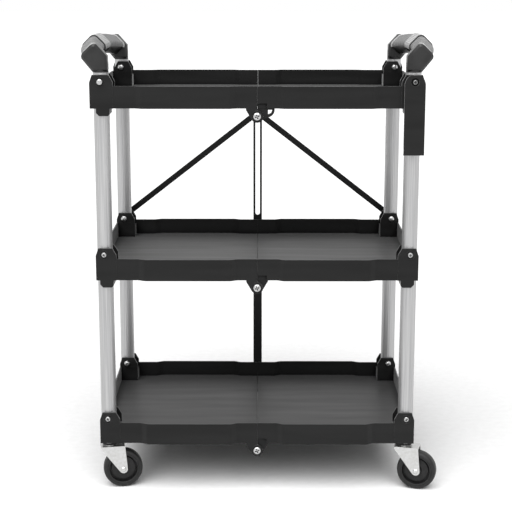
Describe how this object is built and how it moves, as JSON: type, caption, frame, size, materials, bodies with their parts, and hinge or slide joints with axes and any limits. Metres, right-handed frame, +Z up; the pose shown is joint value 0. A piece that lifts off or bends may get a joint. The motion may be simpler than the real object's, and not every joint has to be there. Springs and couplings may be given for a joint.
{
  "type": "folding service cart",
  "caption": "Folding service cart with tray shelves that hinge in the middle, tube legs, a handle at each end and swivel casters.",
  "frame": {"origin": "on the floor under the middle of the open cart", "axes": "+X from the left handle to the right one, +Y from the front to the back, +Z up"},
  "size_m": [0.7067, 0.4556, 0.8889],
  "materials": {
    "black_polypropylene": "fine-grained moulded black polypropylene",
    "satin_aluminium": "satin anodised, faintly fluted along its length",
    "grey_soft_grip": "soft grey grip with a fine grid",
    "bright_zinc": "bright zinc plate",
    "bright_steel": "bright nickel-plated fastener",
    "black_coated_steel": "black powder coat",
    "black_wheel_rubber": "hard black moulded rubber"
  },
  "bodies": {
    "left_frame": {"handle_grip_left": "grey_soft_grip", "leg_left_front": "satin_aluminium", "leg_plug_left_front": "black_polypropylene", "handle_elbow_left_front": "black_polypropylene", "caster_stem_left_front": "bright_zinc", "pivot_bolt_bottom_left_front": "bright_steel", "pivot_bolt_middle_left_front": "bright_steel", "pivot_bolt_top_left_front": "bright_steel", "leg_left_rear": "satin_aluminium", "leg_plug_left_rear": "black_polypropylene", "handle_elbow_left_rear": "black_polypropylene", "caster_stem_left_rear": "bright_zinc", "pivot_bolt_bottom_left_rear": "bright_steel", "pivot_bolt_middle_left_rear": "bright_steel", "pivot_bolt_top_left_rear": "bright_steel"},
    "right_frame": {"handle_grip_right": "grey_soft_grip", "leg_right_front": "satin_aluminium", "leg_plug_right_front": "black_polypropylene", "handle_elbow_right_front": "black_polypropylene", "caster_stem_right_front": "bright_zinc", "pivot_bolt_bottom_right_front": "bright_steel", "pivot_bolt_middle_right_front": "bright_steel", "pivot_bolt_top_right_front": "bright_steel", "leg_right_rear": "satin_aluminium", "leg_plug_right_rear": "black_polypropylene", "handle_elbow_right_rear": "black_polypropylene", "caster_stem_right_rear": "bright_zinc", "pivot_bolt_bottom_right_rear": "bright_steel", "pivot_bolt_middle_right_rear": "bright_steel", "pivot_bolt_top_right_rear": "bright_steel"},
    "bottom_left_half": {"shelf_bottom_left": "black_polypropylene", "hinge_bolt_bottom_front": "bright_steel", "hinge_bolt_bottom_rear": "bright_steel"},
    "bottom_right_half": {"shelf_bottom_right": "black_polypropylene"},
    "middle_left_half": {"shelf_middle_left": "black_polypropylene", "hinge_bolt_middle_front": "bright_steel", "hinge_bolt_middle_rear": "bright_steel"},
    "middle_right_half": {"shelf_middle_right": "black_polypropylene"},
    "top_left_half": {"shelf_top_left": "black_polypropylene", "hinge_bolt_top_front": "bright_steel", "hinge_bolt_top_rear": "bright_steel"},
    "top_right_half": {"shelf_top_right": "black_polypropylene"},
    "upper_spine": {"spine_bar_upper": "black_coated_steel"},
    "lower_spine": {"spine_bar_lower": "black_coated_steel"},
    "sliding_pin": {"brace_pin": "black_coated_steel"},
    "left_brace": {"brace_left": "black_coated_steel"},
    "right_brace": {"brace_right": "black_coated_steel"},
    "swinging_latch": {"latch": "black_polypropylene"},
    "caster_left_front": {"caster_fork_left_front": "bright_zinc", "caster_axle_left_front": "bright_zinc"},
    "wheel_left_front": {"caster_wheel_left_front": "black_wheel_rubber"},
    "caster_right_front": {"caster_fork_right_front": "bright_zinc", "caster_axle_right_front": "bright_zinc"},
    "wheel_right_front": {"caster_wheel_right_front": "black_wheel_rubber"},
    "caster_left_rear": {"caster_fork_left_rear": "bright_zinc", "caster_axle_left_rear": "bright_zinc"},
    "wheel_left_rear": {"caster_wheel_left_rear": "black_wheel_rubber"},
    "caster_right_rear": {"caster_fork_right_rear": "bright_zinc", "caster_axle_right_rear": "bright_zinc"},
    "wheel_right_rear": {"caster_wheel_right_rear": "black_wheel_rubber"}
  },
  "joints": [
    {"name": "fold", "type": "hinge", "parent": "left_frame", "child": "top_left_half", "pos_m": [-0.294, 0, 0.8095], "axis": [0, -1, 0], "range_deg": [0, 90]},
    {"name": "middle_left_pivot", "type": "hinge", "parent": "left_frame", "child": "middle_left_half", "pos_m": [-0.294, 0, 0.4785], "axis": [0, -1, 0], "range_deg": [0, 90]},
    {"name": "bottom_left_pivot", "type": "hinge", "parent": "left_frame", "child": "bottom_left_half", "pos_m": [-0.294, 0, 0.1475], "axis": [0, -1, 0], "range_deg": [0, 90]},
    {"name": "top_centre_hinge", "type": "hinge", "parent": "top_left_half", "child": "top_right_half", "pos_m": [0, 0, 0.7445], "axis": [0, -1, 0], "range_deg": [-180, 0]},
    {"name": "middle_centre_hinge", "type": "hinge", "parent": "middle_left_half", "child": "middle_right_half", "pos_m": [0, 0, 0.4135], "axis": [0, -1, 0], "range_deg": [-180, 0]},
    {"name": "bottom_centre_hinge", "type": "hinge", "parent": "bottom_left_half", "child": "bottom_right_half", "pos_m": [0, 0, 0.0825], "axis": [0, -1, 0], "range_deg": [-180, 0]},
    {"name": "top_right_pivot", "type": "hinge", "parent": "top_right_half", "child": "right_frame", "pos_m": [0.294, 0, 0.8095], "axis": [0, -1, 0], "range_deg": [0, 90]},
    {"name": "upper_spine_hinge", "type": "hinge", "parent": "top_left_half", "child": "upper_spine", "pos_m": [0, 0, 0.7445], "axis": [0, -1, 0], "range_deg": [-90, 0]},
    {"name": "lower_spine_hinge", "type": "hinge", "parent": "middle_left_half", "child": "lower_spine", "pos_m": [0, 0, 0.4135], "axis": [0, -1, 0], "range_deg": [-90, 0]},
    {"name": "brace_pin_slide", "type": "slide", "parent": "upper_spine", "child": "sliding_pin", "axis": [0, 0, -1], "range_m": [0, 0.2209]},
    {"name": "left_brace_hinge", "type": "hinge", "parent": "sliding_pin", "child": "left_brace", "pos_m": [0, 0, 0.70675], "axis": [0, -1, 0], "range_deg": [0, 42.2]},
    {"name": "right_brace_hinge", "type": "hinge", "parent": "sliding_pin", "child": "right_brace", "pos_m": [0, 0, 0.70675], "axis": [0, 1, 0], "range_deg": [0, 42.2]},
    {"name": "latch_swing", "type": "hinge", "parent": "right_frame", "child": "swinging_latch", "pos_m": [0.294, -0.2225, 0.8095], "axis": [0, 1, 0], "range_deg": [0, 90]},
    {"name": "swivel_left_front", "type": "hinge", "parent": "left_frame", "child": "caster_left_front", "pos_m": [-0.294, -0.1905, 0.0875], "axis": [0, 0, 1], "continuous": true},
    {"name": "wheel_spin_left_front", "type": "hinge", "parent": "caster_left_front", "child": "wheel_left_front", "pos_m": [-0.26889, -0.18607, 0.0391], "axis": [-0.1736, 0.9848, 0], "continuous": true},
    {"name": "swivel_right_front", "type": "hinge", "parent": "right_frame", "child": "caster_right_front", "pos_m": [0.294, -0.1905, 0.0875], "axis": [0, 0, 1], "continuous": true},
    {"name": "wheel_spin_right_front", "type": "hinge", "parent": "caster_right_front", "child": "wheel_right_front", "pos_m": [0.31863, -0.1971, 0.0391], "axis": [0.2588, 0.9659, 0], "continuous": true},
    {"name": "swivel_left_rear", "type": "hinge", "parent": "left_frame", "child": "caster_left_rear", "pos_m": [-0.294, 0.1905, 0.0875], "axis": [0, 0, 1], "continuous": true},
    {"name": "wheel_spin_left_rear", "type": "hinge", "parent": "caster_left_rear", "child": "wheel_left_rear", "pos_m": [-0.26906, 0.1958, 0.0391], "axis": [-0.2079, 0.9781, 0], "continuous": true},
    {"name": "swivel_right_rear", "type": "hinge", "parent": "right_frame", "child": "caster_right_rear", "pos_m": [0.294, 0.1905, 0.0875], "axis": [0, 0, 1], "continuous": true},
    {"name": "wheel_spin_right_rear", "type": "hinge", "parent": "caster_right_rear", "child": "wheel_right_rear", "pos_m": [0.31039, 0.17097, 0.0391], "axis": [0.766, 0.6428, 0], "continuous": true}
  ],
  "couplings": [
    {"joint": "middle_left_pivot", "follows": "fold", "ratio": 1},
    {"joint": "bottom_left_pivot", "follows": "fold", "ratio": 1},
    {"joint": "top_centre_hinge", "follows": "fold", "ratio": -2},
    {"joint": "middle_centre_hinge", "follows": "fold", "ratio": -2},
    {"joint": "bottom_centre_hinge", "follows": "fold", "ratio": -2},
    {"joint": "top_right_pivot", "follows": "fold", "ratio": 1},
    {"joint": "upper_spine_hinge", "follows": "fold", "ratio": -1},
    {"joint": "lower_spine_hinge", "follows": "fold", "ratio": -1},
    {"joint": "brace_pin_slide", "follows": "fold", "m_per_rad": 0.14057},
    {"joint": "left_brace_hinge", "follows": "fold", "ratio": 0.468},
    {"joint": "right_brace_hinge", "follows": "fold", "ratio": 0.468}
  ]
}
